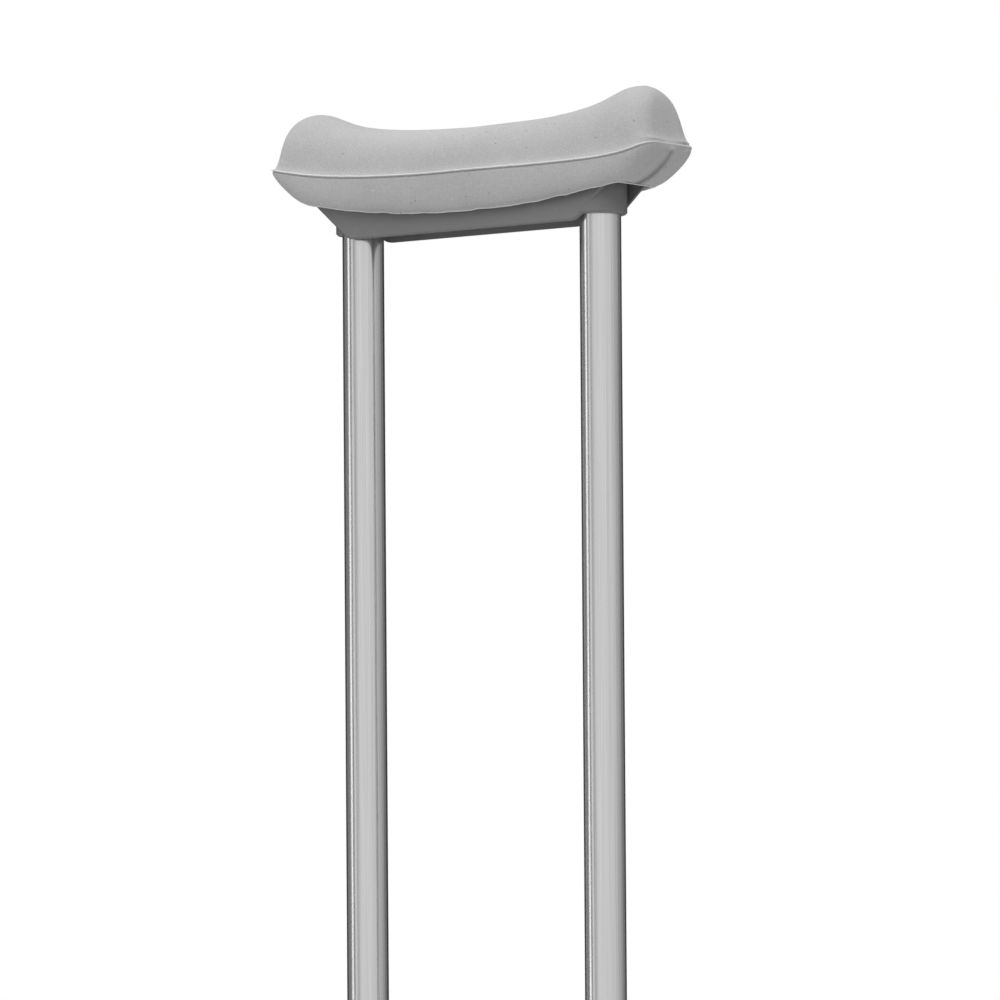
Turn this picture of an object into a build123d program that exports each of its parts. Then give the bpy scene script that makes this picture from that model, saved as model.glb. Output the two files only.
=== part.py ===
from build123d import *
import math
import os

# Underarm crutch: two bent uprights carry a padded saddle, and a leg slides in a centre tube.
# X runs along the underarm pad, Y across it and Z up. The origin is the middle of the foot.

# Whole crutch, with the leg at the middle one of its holes
total_height = 1440.0

# Clearances
slide_gap = 0.25  # a piece that slides on another
seat_gap = 0.05  # a piece that is pushed on or in and stays
soft_gap = 0.3  # foam beside its carrier
past = 1.0  # how far a cut runs past the face it opens

# Tube stock
upright_od = 22.2
upright_wall = 1.2
centre_od = 25.4
centre_wall = 1.2
leg_od = 22.2
leg_wall = 1.2
hole_pitch = 25.4

# Height setting
button_level = 340.0
steps_each_way = 3
button_hole_d = 7.0
hole_to_mouth = 24.0
leg_above_button = 48.0

# Joint of the three tubes
rivet_d = 6.0
rivet_hole_d = 6.3
rivet_head_d = 12.0
rivet_head_h = 3.0
rivet_head_bevel = 1.8
rivet_spacing = 70.0
rivet_over_leg = 10.0
rivet_to_tube_end = 24.0
spacer_web = 1.2
spacer_width = 16.0
spacer_height = 22.0
spacer_corner = 1.5

# Uprights
upright_spacing = 156.0
bend_radius = 110.0
slant_rise = 150.0
slant_over_rivet = 38.0
hole_over_slant = 38.2  # from the slant's top to the lowest handgrip hole

# Underarm pad, with its levels measured down from the top of the dip
pad_length = 251.0
pad_width = 47.0
horn_rise = 14.2
pad_seam_drop = 25.2
pad_rim_drop = 46.6
pad_crown = 2.3  # power of the crown's curve across the pad
seam_lip = 1.3
seam_rise = 8.5
seam_bend = 3.5  # power of the seam's rise along the pad
rim_radius = 540.0
rim_trim = 2.0
rim_lip = 1.2
end_lift = 28.0
end_bend = 5.3  # power of the underside's lift along the pad

# Saddle, with its levels measured down from the same place
deck_drop = 27.0
deck_thickness = 3.0
deck_length = 222.0
deck_width = 38.0
deck_radius = 760.0
deck_corner = 9.0
wall_drop = 56.0
wall_foot_length = 149.0
wall_end_angle = 42.0
wall_end_inset = 11.7
wall_shift = 3.0  # how far the front wall sits towards -X, and the back one towards +X
wall_corner = 9.0
wall_bevel = 0.8
wall_thickness = 2.4
saddle_width = 28.8
boss_drop = 52.7
boss_bevel = 1.0
socket_roof = 4.0
rib_count = 3
rib_thickness = 2.0
rib_recess = 6.0
pad_slot_gap = 2.4

# Saddle screws and the plugs that they bite in
screw_d = 4.0
screw_hole_d = 4.4
screw_head_d = 8.0
screw_head_h = 1.8
screw_sink = 2.4
screw_length = 20.0
plug_length = 26.0

# Tube plugs with bevelled heads
plug_depth = 14.0
plug_bore_d = 14.0
plug_head_h = 4.0
plug_head_bevel = 2.6

# Collar at the centre tube's mouth
collar_wall = 1.9
collar_grip = 14.0
collar_lip = 9.0
collar_bevel = 1.0

# Snap clip and buttons
button_d = 6.6
button_out = 2.8
button_bevel = 1.3
clip_thickness = 0.8
clip_width = 8.0
clip_wall_gap = 0.45
clip_above_button = 8.0
clip_length = 46.0
clip_bend_radius = 4.0
clip_corner = 3.0
stem_d = 3.0
stem_hole_d = 3.2
stem_head_d = 4.6
stem_head_h = 0.6

# Rubber tip
tip_height = 58.0
tip_foot_d = 46.0
tip_foot_h = 8.0
tip_foot_bevel = 2.0
tip_waist_d = 31.0
tip_waist_level = 24.0
tip_neck_d = 29.0
tip_mouth_bevel = 1.5
tip_floor = 8.0
tip_washer_d = 21.4
tip_washer_t = 1.6
tread_depth = 2.5
tread_width = 2.6
tread_rings = (8.3, 14.3)
tip_band_count = 3
tip_band_drop = 8.0
tip_band_pitch = 6.0
tip_band_depth = 1.0
tip_band_width = 2.4

# Handgrip
grip_steps_up = 2
grip_steps_down = 4
grip_d = 34.0
grip_core_d = 22.0
grip_end_d = 30.0
grip_end_length = 8.0
grip_end_gap = 0.3
grip_ear = 5.0
sleeve_bevel = 2.5
bolt_d = 6.35
bolt_hole_d = 7.1
bolt_head_d = 14.0
bolt_head_h = 3.6
bolt_head_bevel = 2.0
bolt_past_nut = 5.0
washer_d = 17.0
washer_web = 1.6
washer_depth = 5.0
nut_hub_d = 11.0
nut_top_d = 8.6
nut_height = 8.5
nut_gap = 0.1
thread_gap = 0.06
wing_span = 29.0
wing_thickness = 2.2
wing_height = 13.0
wing_root = 1.5
wing_tip_width = 6.0
wing_tip_drop = 1.0

# Levels worked out from the sizes above
dip_level = total_height - horn_rise
leg_foot = tip_floor + tip_washer_t
leg_top = button_level + leg_above_button
travel_each_way = steps_each_way * hole_pitch
mouth_level = button_level - travel_each_way - hole_to_mouth
lower_rivet_level = leg_top + travel_each_way + rivet_over_leg + rivet_d / 2
upper_rivet_level = lower_rivet_level + rivet_spacing
centre_top = upper_rivet_level + rivet_to_tube_end
upright_foot = lower_rivet_level - rivet_to_tube_end
slant_foot = upper_rivet_level + slant_over_rivet
slant_top = slant_foot + slant_rise
grip_level = slant_top + hole_over_slant + grip_steps_down * hole_pitch
button_levels = [button_level + n * hole_pitch for n in range(-steps_each_way, steps_each_way + 1)]
grip_levels = [grip_level + n * hole_pitch for n in range(-grip_steps_down, grip_steps_up + 1)]
rivet_levels = (lower_rivet_level, upper_rivet_level)

# Places across the crutch
upright_x = upright_spacing / 2
joined_x = centre_od / 2 + spacer_web + upright_od / 2
joined_half = joined_x + upright_od / 2
centre_bore_r = centre_od / 2 - centre_wall
upright_bore_r = upright_od / 2 - upright_wall
leg_bore_r = leg_od / 2 - leg_wall
button_top_y = centre_od / 2 + button_out
wall_outer_y = saddle_width / 2
wall_inner_y = wall_outer_y - wall_thickness
pad_slot_y = wall_outer_y + pad_slot_gap
washer_outer_x = upright_x + upright_od / 2 + washer_web
grip_half = upright_x - upright_od / 2 - grip_end_gap


def deck_rise(x, radius=deck_radius):
    """Rise of the saddle's long arc at a distance x from its middle."""
    return radius - math.sqrt(radius**2 - x**2)


deck_top = dip_level - deck_drop
deck_end_x = deck_length / 2
wall_end_x = deck_end_x - wall_end_inset
wall_end_slope = math.tan(math.radians(wall_end_angle))
wall_head = deck_top + deck_rise(deck_end_x) - deck_thickness / 2
wall_foot = dip_level - wall_drop
wall_slant_top = wall_foot + (wall_end_x - wall_foot_length / 2) * wall_end_slope
rim_level = dip_level - pad_rim_drop
boss_foot = dip_level - boss_drop
screw_seat = deck_top + deck_rise(upright_x) - screw_sink
socket_top = screw_seat - socket_roof
above_pad = total_height + horn_rise


def tube(outer_r, wall, low, high):
    """A plain upright tube on the Z axis, added to the part being built."""
    with BuildSketch(Plane.XY.offset(low)) as ring:
        Circle(outer_r)
        Circle(outer_r - wall, mode=Mode.SUBTRACT)
    extrude(ring.sketch, amount=high - low)


def holes_along_y(levels, diameter, reach):
    """Round holes along Y through the middle of the part being built."""
    with BuildSketch(Plane.XZ) as row:
        with Locations(*[(0, level) for level in levels]):
            Circle(diameter / 2)
    extrude(row.sketch, amount=reach, both=True, mode=Mode.SUBTRACT)


def holes_along_x(x, levels, diameter, reach):
    """Round holes along X through the part being built, centred on x."""
    with BuildSketch(Plane.YZ.offset(x)) as row:
        with Locations(*[(0, level) for level in levels]):
            Circle(diameter / 2)
    extrude(row.sketch, amount=reach, both=True, mode=Mode.SUBTRACT)


def disc(radius, low, high, x=0.0, mode=Mode.ADD):
    """A round block from one level to another, with its axis at x."""
    with BuildSketch(Plane.XY.offset(low)) as round_face:
        with Locations((x, 0)):
            Circle(radius)
    extrude(round_face.sketch, amount=high - low, mode=mode)


# Rubber tip: wide foot, waisted neck with bands, and ring treads in a flat sole
foot_r = tip_foot_d / 2
waist_r = tip_waist_d / 2
neck_r = tip_neck_d / 2
neck_taper = (waist_r - neck_r) / (tip_height - tip_waist_level)
with BuildPart() as tip:
    with BuildSketch(Plane.XZ):
        with BuildLine():
            Polyline(
                (0, tip_height),
                (0, 0),
                (foot_r - tip_foot_bevel, 0),
                (foot_r, tip_foot_bevel),
                (foot_r, tip_foot_h),
            )
            Spline((foot_r, tip_foot_h), (waist_r, tip_waist_level), tangents=((-0.1, 1), (-0.12, 1)))
            Polyline(
                (waist_r, tip_waist_level),
                (neck_r, tip_height - tip_mouth_bevel),
                (neck_r - tip_mouth_bevel, tip_height),
                (0, tip_height),
            )
        make_face()
    revolve(axis=Axis.Z)
    disc(leg_od / 2 + seat_gap, tip_floor, tip_height + past, mode=Mode.SUBTRACT)
    for ring_r in tread_rings:
        with BuildSketch(Plane.XY):
            Circle(ring_r + tread_width / 2)
            Circle(ring_r - tread_width / 2, mode=Mode.SUBTRACT)
        extrude(amount=tread_depth, mode=Mode.SUBTRACT)
    for band in range(tip_band_count):
        band_low = tip_height - tip_band_drop - band * tip_band_pitch
        flank_r = neck_r + (tip_height - band_low) * neck_taper
        with BuildSketch(Plane.XY.offset(band_low)):
            Circle(foot_r)
            Circle(flank_r - tip_band_depth, mode=Mode.SUBTRACT)
        extrude(amount=tip_band_width, mode=Mode.SUBTRACT)
tip.part.label = "tip"

# Steel disc that keeps the leg's end from cutting through the rubber
with BuildPart() as tip_washer:
    disc(tip_washer_d / 2, tip_floor, leg_foot)
tip_washer.part.label = "tip_washer"

# Leg tube with one hole on each side for the buttons
with BuildPart() as leg_tube:
    tube(leg_od / 2, leg_wall, leg_foot, leg_top)
    holes_along_y([button_level], button_hole_d, leg_od)
leg_tube.part.label = "leg_tube"

# Spring strip bent to a narrow V, with its open end up and a hole in each arm
clip_face_y = math.sqrt(leg_bore_r**2 - (clip_width / 2) ** 2) - clip_wall_gap
clip_top = button_level + clip_above_button
clip_arm_foot = button_level - clip_length
with BuildPart() as snap_clip:
    with BuildSketch(Plane.YZ):
        with BuildLine():
            arm_y = clip_face_y - clip_thickness / 2
            lean_foot = button_level - clip_above_button
            FilletPolyline(
                (-arm_y, clip_top),
                (-arm_y, lean_foot),
                (-clip_bend_radius, clip_arm_foot),
                (0, clip_arm_foot - clip_bend_radius),
                (clip_bend_radius, clip_arm_foot),
                (arm_y, lean_foot),
                (arm_y, clip_top),
                radius=clip_corner,
            )
            offset(amount=clip_thickness / 2)
        make_face()
    extrude(amount=clip_width / 2, both=True)
    holes_along_y([button_level], stem_hole_d, leg_od)
snap_clip.part.label = "snap_clip"


def snap_button(side):
    """A bevelled button on the clip's arm: side is -1 for the front (-Y) and 1 for the back."""
    seat = clip_face_y + seat_gap
    inner = clip_face_y - clip_thickness - seat_gap
    outward = Plane(origin=(0, 0, button_level), x_dir=(1, 0, 0), z_dir=(0, side, 0))
    with BuildPart() as button:
        with BuildSketch(outward.offset(seat)):
            Circle(button_d / 2)
        extrude(amount=button_top_y - seat)
        chamfer(button.faces().sort_by(Axis((0, 0, 0), (0, side, 0)))[-1].edges(), length=button_bevel)
        with BuildSketch(outward.offset(inner)):
            Circle(stem_d / 2)
        extrude(amount=seat - inner)
        with BuildSketch(outward.offset(inner - stem_head_h)):
            Circle(stem_head_d / 2)
        extrude(amount=stem_head_h)
    return button


button_front = snap_button(-1)
button_front.part.label = "button_front"
button_back = snap_button(1)
button_back.part.label = "button_back"

# Centre tube: height holes front and back, rivet holes left and right
with BuildPart() as centre_tube:
    tube(centre_od / 2, centre_wall, mouth_level, centre_top)
    holes_along_y(button_levels, button_hole_d, centre_od)
    holes_along_x(0, rivet_levels, rivet_hole_d, centre_od)
centre_tube.part.label = "centre_tube"

# Collar on the mouth: a cup round the tube's end and a lip that guides the leg
collar_foot = mouth_level - collar_lip
with BuildPart() as mouth_collar:
    disc(centre_od / 2 + collar_wall, collar_foot, mouth_level + collar_grip)
    chamfer(mouth_collar.edges().filter_by(GeomType.CIRCLE), length=collar_bevel)
    disc(leg_od / 2 + slide_gap, collar_foot, mouth_level + collar_grip, mode=Mode.SUBTRACT)
    disc(centre_od / 2 + seat_gap, mouth_level, mouth_level + collar_grip, mode=Mode.SUBTRACT)
mouth_collar.part.label = "mouth_collar"


def end_plug(outer_r, bore_r, level, up, x=0.0):
    """A hollow plug pushed into a tube's end, with a bevelled head. up is 1 or -1."""
    plane = Plane(origin=(x, 0, level), x_dir=(1, 0, 0), z_dir=(0, 0, up))
    with BuildPart() as plug:
        with BuildSketch(plane.offset(-plug_depth)):
            Circle(bore_r - seat_gap)
            Circle(plug_bore_d / 2, mode=Mode.SUBTRACT)
        extrude(amount=plug_depth)
        with BuildSketch(plane):
            Circle(outer_r)
        extrude(amount=plug_head_h)
        chamfer(plug.faces().sort_by(Axis((0, 0, 0), (0, 0, up)))[-1].edges(), length=plug_head_bevel)
    return plug


centre_tube_cap = end_plug(centre_od / 2, centre_bore_r, centre_top, 1)
centre_tube_cap.part.label = "centre_tube_cap"


def bent_upright(side):
    """An upright tube: straight beside the grip, slanting in, then straight beside the centre tube."""
    with BuildPart() as upright:
        with BuildLine():
            run = FilletPolyline(
                (side * joined_x, 0, upright_foot),
                (side * joined_x, 0, slant_foot),
                (side * upright_x, 0, slant_top),
                (side * upright_x, 0, socket_top - seat_gap),
                radius=bend_radius,
            )
        with BuildSketch(Plane(origin=run @ 0, z_dir=run % 0)):
            Circle(upright_od / 2)
            Circle(upright_bore_r, mode=Mode.SUBTRACT)
        sweep()
        holes_along_x(side * upright_x, grip_levels, bolt_hole_d, upright_od)
        holes_along_x(side * joined_x, rivet_levels, rivet_hole_d, upright_od)
    return upright


upright_left = bent_upright(-1)
upright_left.part.label = "upright_left"
upright_right = bent_upright(1)
upright_right.part.label = "upright_right"

upright_cap_left = end_plug(upright_od / 2, upright_bore_r, upright_foot, -1, -joined_x)
upright_cap_left.part.label = "upright_cap_left"
upright_cap_right = end_plug(upright_od / 2, upright_bore_r, upright_foot, -1, joined_x)
upright_cap_right.part.label = "upright_cap_right"


def tube_spacers(level):
    """A pair of hollow-faced blocks between the centre tube and the uprights."""
    low = level - spacer_height / 2
    high = level + spacer_height / 2
    with BuildPart() as spacers:
        for side in (-1, 1):
            with BuildSketch(Plane.XY.offset(low)):
                with Locations((side * (centre_od / 2 + joined_x) / 2, 0)):
                    RectangleRounded(upright_od / 2 + spacer_web, spacer_width, spacer_corner)
            extrude(amount=spacer_height)
        disc(centre_od / 2 + seat_gap, low, high, mode=Mode.SUBTRACT)
        for side in (-1, 1):
            disc(upright_od / 2 + seat_gap, low, high, x=side * joined_x, mode=Mode.SUBTRACT)
        holes_along_x(0, [level], rivet_hole_d, joined_x)
    return spacers


spacers_lower = tube_spacers(lower_rivet_level)
spacers_lower.part.label = "spacers_lower"
spacers_upper = tube_spacers(upper_rivet_level)
spacers_upper.part.label = "spacers_upper"


def through_rivet(level):
    """A rivet through the three tubes with a bevelled head at each end."""
    with BuildPart() as rivet:
        for side in (-1, 1):
            outward = Plane(origin=(side * joined_half, 0, level), x_dir=(0, 1, 0), z_dir=(side, 0, 0))
            with BuildSketch(outward):
                Circle(rivet_head_d / 2)
            extrude(amount=rivet_head_h)
            chamfer(rivet.faces().sort_by(Axis((0, 0, 0), (side, 0, 0)))[-1].edges(), length=rivet_head_bevel)
        with BuildSketch(Plane.YZ.offset(-joined_half)):
            with Locations((0, level)):
                Circle(rivet_d / 2)
        extrude(amount=2 * joined_half)
    return rivet


frame_rivet_lower = through_rivet(lower_rivet_level)
frame_rivet_lower.part.label = "frame_rivet_lower"
frame_rivet_upper = through_rivet(upper_rivet_level)
frame_rivet_upper.part.label = "frame_rivet_upper"


def long_arc(level, half_length, radius=deck_radius):
    """An arc along X at Y = 0, lowest in the middle, as a line in an XZ sketch."""
    end = level + deck_rise(half_length, radius)
    return ThreePointArc((-half_length, end), (0, level), (half_length, end))


def arc_band(low, high, half_length):
    """The area between two levels that both follow the saddle's long arc."""
    with BuildLine() as band:
        bottom = long_arc(low, half_length)
        top = long_arc(high, half_length)
        Line(bottom @ 0, top @ 0)
        Line(bottom @ 1, top @ 1)
    make_face(band.edges())


def saddle_wall(side):
    """A side wall of the saddle with bevelled outer edges: side is -1 for the front, 1 for the back."""
    with BuildPart() as wall:
        with BuildSketch(Plane.XZ.offset(-side * wall_inner_y)) as outline:
            with BuildLine(Location((side * wall_shift, 0))):
                Polyline(
                    (-wall_end_x, wall_head),
                    (-wall_end_x, wall_slant_top),
                    (-wall_foot_length / 2, wall_foot),
                    (wall_foot_length / 2, wall_foot),
                    (wall_end_x, wall_slant_top),
                    (wall_end_x, wall_head),
                    close=True,
                )
            make_face()
            fillet(outline.vertices().group_by(Axis.Y)[0], radius=wall_corner)
        extrude(amount=-side * wall_thickness)
        chamfer(wall.faces().sort_by(Axis((0, 0, 0), (0, side, 0)))[-1].edges(), length=wall_bevel)
    return wall.part


def socket_boss(side):
    """The round boss of a tube socket, bevelled at its foot, without its bore."""
    with BuildPart() as boss:
        disc(saddle_width / 2, boss_foot, wall_head, x=side * upright_x)
        chamfer(boss.edges().sort_by(Axis.Z)[0], length=boss_bevel)
    return boss.part


# Saddle: curved deck on two side walls, with tube sockets and cross ribs between the walls
with BuildPart() as saddle:
    with BuildSketch(Plane.XZ):
        arc_band(deck_top - deck_thickness, deck_top, deck_end_x)
    extrude(amount=deck_width / 2, both=True)
    fillet(saddle.edges().filter_by(Axis.Z), radius=deck_corner)
    for side in (-1, 1):
        add(saddle_wall(side))
        add(socket_boss(side))
    rib_foot = wall_foot + rib_recess
    rib_step = 2 * (upright_x - saddle_width / 2) / (rib_count + 1)
    for n in range(rib_count):
        rib_x = (n - (rib_count - 1) / 2) * rib_step
        with BuildSketch(Plane.YZ.offset(rib_x - rib_thickness / 2)):
            with Locations((0, (rib_foot + wall_head) / 2)):
                Rectangle(saddle_width - wall_thickness, wall_head - rib_foot)
        extrude(amount=rib_thickness)
    with BuildSketch(Plane.XZ):
        with BuildLine():
            roof_end = deck_end_x + past
            roof = long_arc(deck_top, roof_end)
            Polyline(roof @ 0, (-roof_end, above_pad), (roof_end, above_pad), roof @ 1)
        make_face()
    extrude(amount=deck_width, both=True, mode=Mode.SUBTRACT)
    for side in (-1, 1):
        disc(upright_od / 2 + seat_gap, wall_foot - past, socket_top, x=side * upright_x, mode=Mode.SUBTRACT)
        disc(screw_hole_d / 2, socket_top - past, above_pad, x=side * upright_x, mode=Mode.SUBTRACT)
        disc(screw_head_d / 2 + slide_gap, screw_seat, above_pad, x=side * upright_x, mode=Mode.SUBTRACT)
saddle.part.label = "saddle"

# Screws through the deck, with their heads sunk under the pad
with BuildPart() as saddle_screws:
    for side in (-1, 1):
        disc(screw_d / 2, screw_seat - screw_length, screw_seat, x=side * upright_x)
        disc(screw_head_d / 2, screw_seat, screw_seat + screw_head_h, x=side * upright_x)
saddle_screws.part.label = "saddle_screws"


def tube_plug(side):
    """A plug in the top of an upright, bored for its screw."""
    top = socket_top - seat_gap
    with BuildPart() as plug:
        disc(upright_bore_r - seat_gap, top - plug_length, top, x=side * upright_x)
        disc(screw_d / 2 + seat_gap, top - plug_length, top, x=side * upright_x, mode=Mode.SUBTRACT)
    return plug


tube_plug_left = tube_plug(-1)
tube_plug_left.part.label = "tube_plug_left"
tube_plug_right = tube_plug(1)
tube_plug_right.part.label = "tube_plug_right"


# Underarm pad: half of its sections along X, from the middle to one end, each as a share of the
# half length, of the horn's rise and of the half width
pad_stations = (
    (0.0, 0.0, 1.0),
    (0.3, 0.07, 1.0),
    (0.46, 0.19, 1.0),
    (0.6, 0.38, 1.0),
    (0.68, 0.57, 1.0),
    (0.74, 0.77, 1.0),
    (0.795, 0.94, 1.0),
    (0.853, 1.0, 1.0),
    (0.905, 0.91, 0.985),
    (0.942, 0.55, 0.94),
    (0.96, 0.0, 0.91),
    (0.974, -0.76, 0.86),
    (1.0, -1.13, 0.7),
)


def crown_point(half, seam, top, angle):
    """A point of the pad's crown, a superellipse over the seam, at an angle from the right edge."""
    across = math.cos(math.radians(angle))
    up = math.sin(math.radians(angle))
    power = 2 / pad_crown
    return (math.copysign(abs(across) ** power * half, across), seam + abs(up) ** power * (top - seam))


def pad_section(side, share, rise_share, width_share):
    """One closed section of the pad: crown, lip at the seam, and sides that draw in underneath."""
    top = dip_level + rise_share * horn_rise
    seam = dip_level - pad_seam_drop + seam_rise * share**seam_bend
    rim = rim_level - rim_trim + end_lift * share**end_bend
    half = pad_width / 2 * width_share
    crown = half - seam_lip
    foot = (pad_slot_y + rim_lip) * width_share
    with BuildSketch(Plane.YZ.offset(side * share * pad_length / 2)) as section:
        with BuildLine():
            Spline(*[crown_point(crown, seam, top, angle) for angle in range(180, -1, -30)])
            Line((crown, seam), (half, seam))
            Spline((half, seam), (foot, rim), tangents=((-0.1, -1), (-0.8, -1)))
            Line((foot, rim), (-foot, rim))
            Spline((-foot, rim), (-half, seam), tangents=((-0.8, 1), (-0.1, 1)))
            Line((-half, seam), (-crown, seam))
        make_face()
    return section.sketch.face()


with BuildPart() as underarm_pad:
    left_half = [pad_section(-1, *station) for station in reversed(pad_stations[1:])]
    right_half = [pad_section(1, *station) for station in pad_stations]
    loft(left_half + right_half)
    with BuildSketch(Plane.XZ):
        with BuildLine():
            rim_arc = long_arc(rim_level, pad_length / 2, rim_radius)
            Polyline(rim_arc @ 0, (-pad_length / 2, wall_foot), (pad_length / 2, wall_foot), rim_arc @ 1)
        make_face()
    extrude(amount=pad_width, both=True, mode=Mode.SUBTRACT)
    with BuildSketch(Plane.XZ):
        arc_band(deck_top - deck_thickness - soft_gap, deck_top + soft_gap, deck_end_x + soft_gap)
    extrude(amount=deck_width / 2 + soft_gap, both=True, mode=Mode.SUBTRACT)
    with BuildSketch(Plane.XZ):
        with BuildLine():
            slot_end = wall_end_x + wall_shift + soft_gap
            slot_roof = long_arc(deck_top - deck_thickness / 2, slot_end)
            Polyline(slot_roof @ 0, (-slot_end, wall_foot), (slot_end, wall_foot), slot_roof @ 1)
        make_face()
    extrude(amount=pad_slot_y, both=True, mode=Mode.SUBTRACT)
underarm_pad.part.label = "underarm_pad"


def grip_round(radius, low_x, high_x, mode=Mode.ADD):
    """A round block along X at the grip's level."""
    with BuildSketch(Plane.YZ.offset(low_x)) as round_face:
        with Locations((0, grip_level)):
            Circle(radius)
    extrude(round_face.sketch, amount=high_x - low_x, mode=mode)


# Handgrip core: a bored bar whose wider ends are hollowed to seat on the uprights
with BuildPart() as grip_core:
    grip_round(grip_end_d / 2, -grip_half - grip_ear, grip_half + grip_ear)
    with BuildSketch(Plane.YZ.offset(-grip_half + grip_end_length)):
        with Locations((0, grip_level)):
            Circle(grip_end_d)
            Circle(grip_core_d / 2, mode=Mode.SUBTRACT)
    extrude(amount=2 * (grip_half - grip_end_length), mode=Mode.SUBTRACT)
    for side in (-1, 1):
        disc(
            upright_od / 2 + grip_end_gap,
            grip_level - grip_end_d,
            grip_level + grip_end_d,
            x=side * upright_x,
            mode=Mode.SUBTRACT,
        )
    holes_along_x(0, [grip_level], bolt_hole_d, upright_x)
grip_core.part.label = "grip_core"

# Foam sleeve between the core's ends
sleeve_half = grip_half - grip_end_length - seat_gap
with BuildPart() as grip_sleeve:
    grip_round(grip_d / 2, -sleeve_half, sleeve_half)
    chamfer(grip_sleeve.edges().filter_by(GeomType.CIRCLE), length=sleeve_bevel)
    grip_round(grip_core_d / 2 + seat_gap, -sleeve_half, sleeve_half, mode=Mode.SUBTRACT)
grip_sleeve.part.label = "grip_sleeve"

# Bolt with a bevelled head on the left, long enough for the nut on the right
nut_x = washer_outer_x + nut_gap
with BuildPart() as grip_bolt:
    grip_round(bolt_head_d / 2, -washer_outer_x - bolt_head_h, -washer_outer_x)
    chamfer(grip_bolt.faces().sort_by(Axis.X)[0].edges(), length=bolt_head_bevel)
    grip_round(bolt_d / 2, -washer_outer_x, nut_x + nut_height + bolt_past_nut)
grip_bolt.part.label = "grip_bolt"

# Washers that sit outside the uprights and are hollowed to their curve
with BuildPart() as grip_washers:
    for low_x in (-washer_outer_x, washer_outer_x - washer_depth):
        grip_round(washer_d / 2, low_x, low_x + washer_depth)
    for side in (-1, 1):
        disc(
            upright_od / 2 + slide_gap,
            grip_level - washer_d,
            grip_level + washer_d,
            x=side * upright_x,
            mode=Mode.SUBTRACT,
        )
    holes_along_x(0, [grip_level], bolt_hole_d, washer_outer_x + past)
grip_washers.part.label = "grip_washers"

# Wing nut: a tapered hub with two raised wings
with BuildPart() as wing_nut:
    with BuildSketch(Plane.XZ):
        with BuildLine():
            Polyline(
                (nut_x, grip_level),
                (nut_x, grip_level + nut_hub_d / 2),
                (nut_x + nut_height, grip_level + nut_top_d / 2),
                (nut_x + nut_height, grip_level),
                close=True,
            )
        make_face()
    revolve(axis=Axis((0, 0, grip_level), (1, 0, 0)))
    with BuildSketch(Plane.XZ) as wings:
        with BuildLine():
            Polyline(
                (nut_x + wing_root, grip_level),
                (nut_x + wing_root, grip_level + nut_hub_d / 2),
                (nut_x + wing_height - wing_tip_width, grip_level + wing_span / 2),
                (nut_x + wing_height, grip_level + wing_span / 2 - wing_tip_drop),
                (nut_x + nut_height, grip_level + nut_top_d / 2),
                (nut_x + nut_height, grip_level),
                close=True,
            )
        make_face()
        mirror(about=Plane(origin=(0, grip_level, 0), z_dir=(0, 1, 0)))
    extrude(amount=wing_thickness / 2, both=True)
    grip_round(bolt_d / 2 + thread_gap, nut_x - past, nut_x + wing_height + past, mode=Mode.SUBTRACT)
wing_nut.part.label = "wing_nut"

pieces = (
    underarm_pad,
    saddle,
    saddle_screws,
    tube_plug_left,
    tube_plug_right,
    upright_left,
    upright_right,
    upright_cap_left,
    upright_cap_right,
    centre_tube,
    centre_tube_cap,
    spacers_upper,
    spacers_lower,
    frame_rivet_upper,
    frame_rivet_lower,
    mouth_collar,
    leg_tube,
    snap_clip,
    button_front,
    button_back,
    tip,
    tip_washer,
    grip_core,
    grip_sleeve,
    grip_bolt,
    grip_washers,
    wing_nut,
)
os.makedirs("parts", exist_ok=True)
for piece in pieces:
    export_step(piece.part, f"parts/{piece.part.label}.step")
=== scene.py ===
"""An underarm crutch in a plain studio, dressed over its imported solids.

Every length is in metres, in the crutch's own frame: X runs along the underarm pad, Y across
it and Z up, with the origin in the middle of the tip's sole.
"""

from __future__ import annotations

import logging
import math
from dataclasses import dataclass, field
from enum import Enum
from typing import Any, Optional, Sequence, Union

import bmesh
import bpy
from mathutils import Matrix, Vector, noise

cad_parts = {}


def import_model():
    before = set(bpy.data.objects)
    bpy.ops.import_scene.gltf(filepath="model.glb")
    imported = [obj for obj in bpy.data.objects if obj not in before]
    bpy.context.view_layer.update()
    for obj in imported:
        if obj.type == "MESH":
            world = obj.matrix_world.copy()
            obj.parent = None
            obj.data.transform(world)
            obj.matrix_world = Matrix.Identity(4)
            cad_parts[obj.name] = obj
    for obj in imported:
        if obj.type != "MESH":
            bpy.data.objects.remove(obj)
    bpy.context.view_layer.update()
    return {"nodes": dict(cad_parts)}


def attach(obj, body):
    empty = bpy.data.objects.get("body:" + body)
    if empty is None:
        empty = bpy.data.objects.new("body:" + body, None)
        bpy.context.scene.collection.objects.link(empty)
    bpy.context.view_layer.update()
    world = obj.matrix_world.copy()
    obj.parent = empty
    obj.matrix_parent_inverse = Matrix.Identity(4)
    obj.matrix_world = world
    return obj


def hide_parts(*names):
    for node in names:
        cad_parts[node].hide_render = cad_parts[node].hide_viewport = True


log = logging.getLogger("crutch")

MM = 0.001
Point = tuple[float, float, float]
Colour = tuple[float, float, float, float]
Value = Union["Sock", float, tuple]


def grey(level: float) -> Colour:
    """Returns a neutral colour of one linear level."""
    return (level, level, level, 1.0)


class Grain(Enum):
    """The direction in which a piece of metal was drawn."""

    ALONG_X = (14.0, 2600.0, 2600.0)
    ALONG_Z = (2600.0, 2600.0, 14.0)


# Node trees


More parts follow.
